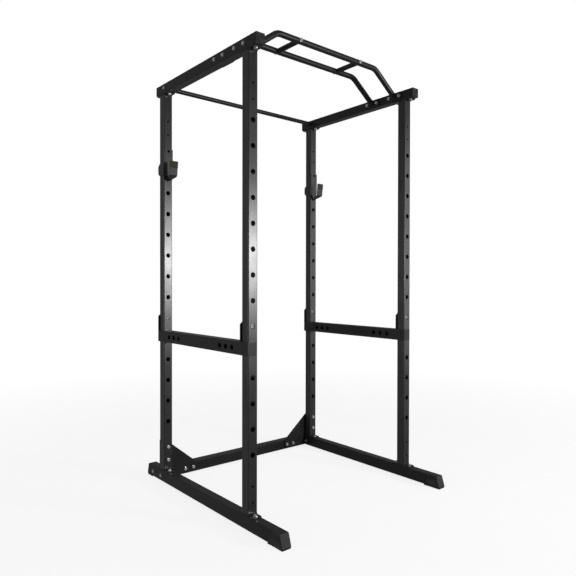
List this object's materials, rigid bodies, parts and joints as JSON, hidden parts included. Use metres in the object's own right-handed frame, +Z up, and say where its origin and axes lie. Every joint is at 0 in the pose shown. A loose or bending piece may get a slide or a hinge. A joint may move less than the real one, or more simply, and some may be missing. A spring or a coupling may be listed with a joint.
{
  "type": "power cage",
  "caption": "Steel training cage with punched square uprights, J-hooks, pinned safety rails, a raised two-bar pull-up station and floor runners with a rear cross-member.",
  "frame": {"origin": "on the floor, at the middle of the footprint", "axes": "+Z up, the open front with the pull-up station at -Y, +X to the right of someone who looks in from the front"},
  "size_m": [1.143, 1.2238, 2.298],
  "materials": {
    "black_powder_coat": "satin black powder coat with a fine grain",
    "zinc_plated_steel": "bright zinc plate",
    "bare_steel_pin": "dull dark turned steel",
    "plain_steel": "plain machined steel",
    "black_plastic": "matt moulded black plastic",
    "dark_olive_rubber": "matt dark olive rubber"
  },
  "bodies": {
    "frame": {"cross_grip_bolts": "zinc_plated_steel", "cross_member_bolts": "zinc_plated_steel", "cross_member_flanges": "black_powder_coat", "cross_member_nuts": "zinc_plated_steel", "crossbar_bolts": "zinc_plated_steel", "crossbar_plugs": "plain_steel", "front_left_upright": "black_powder_coat", "front_pull_up_bar": "black_powder_coat", "front_right_upright": "black_powder_coat", "gusset_bolts": "zinc_plated_steel", "gusset_nuts": "zinc_plated_steel", "left_cross_grip": "black_powder_coat", "left_front_foot_cap": "black_plastic", "left_front_pin_plate": "black_powder_coat", "left_gusset": "black_powder_coat", "left_rear_foot_cap": "black_plastic", "left_rear_pin_plate": "black_powder_coat", "left_runner": "black_powder_coat", "left_safety_rail_face": "black_powder_coat", "left_safety_rail_tube": "black_powder_coat", "left_top_rail": "black_powder_coat", "pull_up_bar_bolts": "zinc_plated_steel", "pull_up_bar_nuts": "zinc_plated_steel", "pull_up_bar_plates": "black_powder_coat", "rear_cross_member": "black_powder_coat", "rear_crossbar": "black_powder_coat", "rear_left_upright": "black_powder_coat", "rear_pull_up_bar": "black_powder_coat", "rear_right_upright": "black_powder_coat", "right_cross_grip": "black_powder_coat", "right_front_foot_cap": "black_plastic", "right_front_pin_plate": "black_powder_coat", "right_gusset": "black_powder_coat", "right_rear_foot_cap": "black_plastic", "right_rear_pin_plate": "black_powder_coat", "right_runner": "black_powder_coat", "right_safety_rail_face": "black_powder_coat", "right_safety_rail_tube": "black_powder_coat", "right_top_rail": "black_powder_coat", "top_rail_caps": "black_plastic", "upright_bolts": "zinc_plated_steel", "upright_foot_plates": "black_powder_coat", "upright_head_plates": "black_powder_coat", "upright_weld_nuts": "zinc_plated_steel"},
    "left_hook": {"left_hook_plate": "black_powder_coat", "left_hook_cradle": "black_powder_coat", "left_hook_peg": "black_powder_coat", "left_hook_pad": "dark_olive_rubber"},
    "right_hook": {"right_hook_plate": "black_powder_coat", "right_hook_cradle": "black_powder_coat", "right_hook_peg": "black_powder_coat", "right_hook_pad": "dark_olive_rubber"},
    "left_front_locking_pin": {"left_front_locking_pin": "bare_steel_pin"},
    "left_rear_locking_pin": {"left_rear_locking_pin": "bare_steel_pin"},
    "right_front_locking_pin": {"right_front_locking_pin": "bare_steel_pin"},
    "right_rear_locking_pin": {"right_rear_locking_pin": "bare_steel_pin"}
  },
  "joints": [
    {"name": "left_hook_swing", "type": "hinge", "parent": "frame", "child": "left_hook", "pos_m": [-0.54, 0.436, 1.82], "axis": [0, 1, 0], "range_deg": [0, 125]},
    {"name": "right_hook_swing", "type": "hinge", "parent": "frame", "child": "right_hook", "pos_m": [0.54, 0.436, 1.82], "axis": [0, 1, 0], "range_deg": [0, 125]},
    {"name": "left_front_locking_pin_pull", "type": "slide", "parent": "frame", "child": "left_front_locking_pin", "axis": [0, 1, 0], "range_m": [0, 0.06]},
    {"name": "left_rear_locking_pin_pull", "type": "slide", "parent": "frame", "child": "left_rear_locking_pin", "axis": [0, 1, 0], "range_m": [0, 0.06]},
    {"name": "right_front_locking_pin_pull", "type": "slide", "parent": "frame", "child": "right_front_locking_pin", "axis": [0, 1, 0], "range_m": [0, 0.06]},
    {"name": "right_rear_locking_pin_pull", "type": "slide", "parent": "frame", "child": "right_rear_locking_pin", "axis": [0, 1, 0], "range_m": [0, 0.06]}
  ]
}
